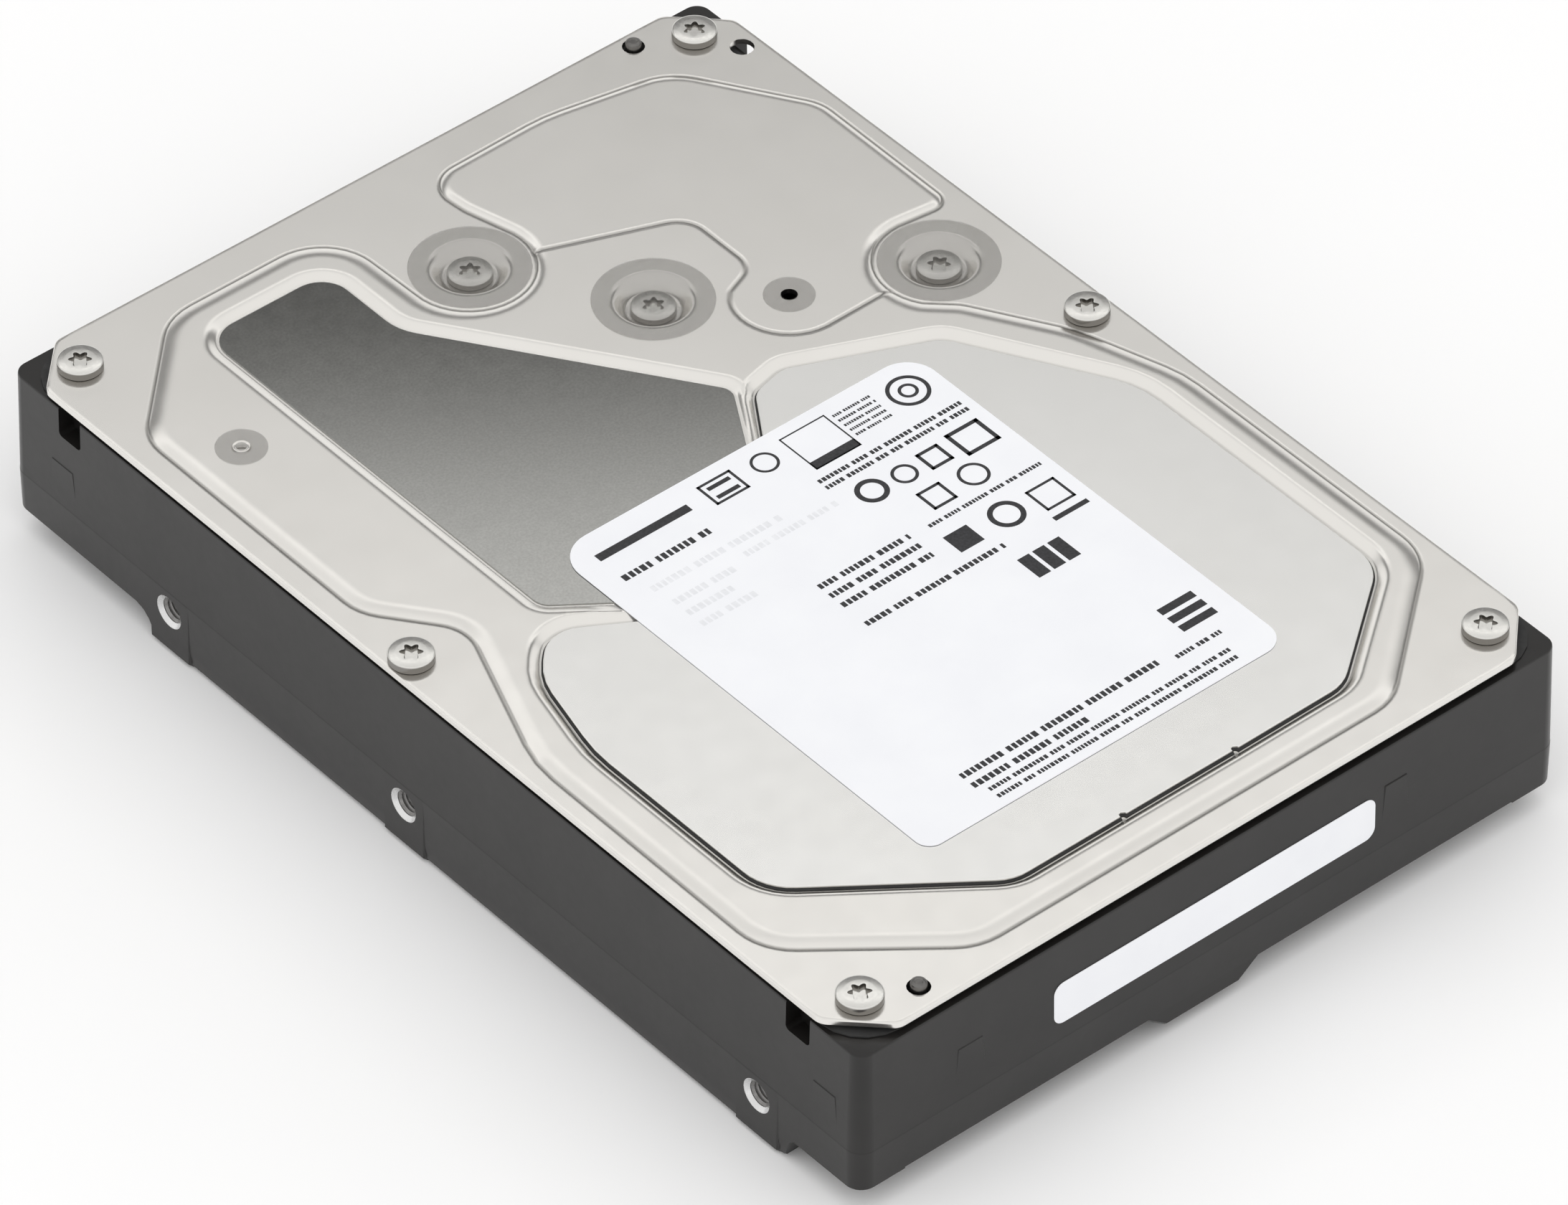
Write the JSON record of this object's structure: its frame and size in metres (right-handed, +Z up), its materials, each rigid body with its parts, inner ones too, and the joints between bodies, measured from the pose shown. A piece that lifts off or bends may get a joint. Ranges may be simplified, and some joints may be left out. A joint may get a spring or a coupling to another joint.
{
  "type": "hard disk drive",
  "caption": "Flat 3.5 inch hard disk drive with a black die-cast body, a stamped bright cover, internal disks and a swinging head stack.",
  "frame": {"origin": "centre of the bounding box's bottom face, on the plane of the mounting rails", "axes": "+Z up through the cover, +Y towards the connector end, +X to the right seen from the plain front end"},
  "size_m": [0.1016, 0.147, 0.0261],
  "materials": {
    "black_casting": "satin black",
    "plated_steel": "nickel plated, fine satin",
    "polished_disk": "mirror",
    "machined_aluminium": "machined",
    "screw_steel": "turned",
    "dark_sheet": "dark grey satin",
    "label_paper": "white film label",
    "seal_film": "translucent grey film",
    "gasket_rubber": "matte black",
    "board_green": "green solder mask",
    "insulator_foam": "matte foam",
    "black_plastic": "moulded black",
    "ramp_plastic": "natural moulded",
    "magnet_nickel": "nickel plated magnet",
    "copper_wire": "enamelled copper",
    "flex_film": "amber film",
    "filter_cloth": "white felt"
  },
  "bodies": {
    "chassis": {"base_casting": "black_casting", "board_insulator": "insulator_foam", "board_screw_1": "screw_steel", "board_screw_2": "screw_steel", "board_screw_3": "screw_steel", "board_screw_4": "screw_steel", "breather_seal": "seal_film", "circuit_board": "board_green", "controller_chip": "black_plastic", "cover_gasket": "gasket_rubber", "cover_screw_1": "screw_steel", "cover_screw_2": "screw_steel", "cover_screw_3": "screw_steel", "cover_screw_4": "screw_steel", "cover_screw_5": "screw_steel", "cover_screw_6": "screw_steel", "damper_plate": "plated_steel", "damper_sheet": "dark_sheet", "flex_bracket": "machined_aluminium", "flex_cable": "flex_film", "front_label": "label_paper", "inner_screw_1": "screw_steel", "inner_screw_2": "screw_steel", "inner_screw_3": "screw_steel", "load_ramp": "ramp_plastic", "lower_magnet": "magnet_nickel", "lower_yoke": "plated_steel", "main_label": "label_paper", "motor_stator": "copper_wire", "pivot_shaft": "screw_steel", "port_seal": "seal_film", "recirculation_filter": "filter_cloth", "sata_connector": "black_plastic", "screw_seal_1": "seal_film", "screw_seal_2": "seal_film", "screw_seal_3": "seal_film", "top_cover": "plated_steel", "upper_magnet": "magnet_nickel", "upper_yoke": "plated_steel"},
    "spindle": {"spindle_hub": "machined_aluminium", "disk_1": "polished_disk", "disk_2": "polished_disk", "disk_3": "polished_disk", "disk_4": "polished_disk", "disk_5": "polished_disk", "spacer_1": "machined_aluminium", "spacer_2": "machined_aluminium", "spacer_3": "machined_aluminium", "spacer_4": "machined_aluminium", "disk_clamp": "plated_steel"},
    "actuator": {"pivot_sleeve": "machined_aluminium", "arm_comb": "machined_aluminium", "voice_coil": "copper_wire", "head_suspension_1": "plated_steel", "head_suspension_2": "plated_steel", "head_suspension_3": "plated_steel", "head_suspension_4": "plated_steel", "head_suspension_5": "plated_steel", "head_suspension_6": "plated_steel"},
    "latch": {"inertial_latch": "black_plastic"}
  },
  "joints": [
    {"name": "spindle_rotation", "type": "hinge", "parent": "chassis", "child": "spindle", "pos_m": [0, -0.0226, 0.015], "axis": [0, 0, 1], "continuous": true},
    {"name": "actuator_swing", "type": "hinge", "parent": "chassis", "child": "actuator", "pos_m": [0.0109, 0.0341, 0.0147], "axis": [0, 0, 1], "range_deg": [0, 37]},
    {"name": "latch_swing", "type": "hinge", "parent": "chassis", "child": "latch", "pos_m": [0.041, 0.0275, 0.0146], "axis": [0, 0, 1], "range_deg": [0, 12]}
  ]
}
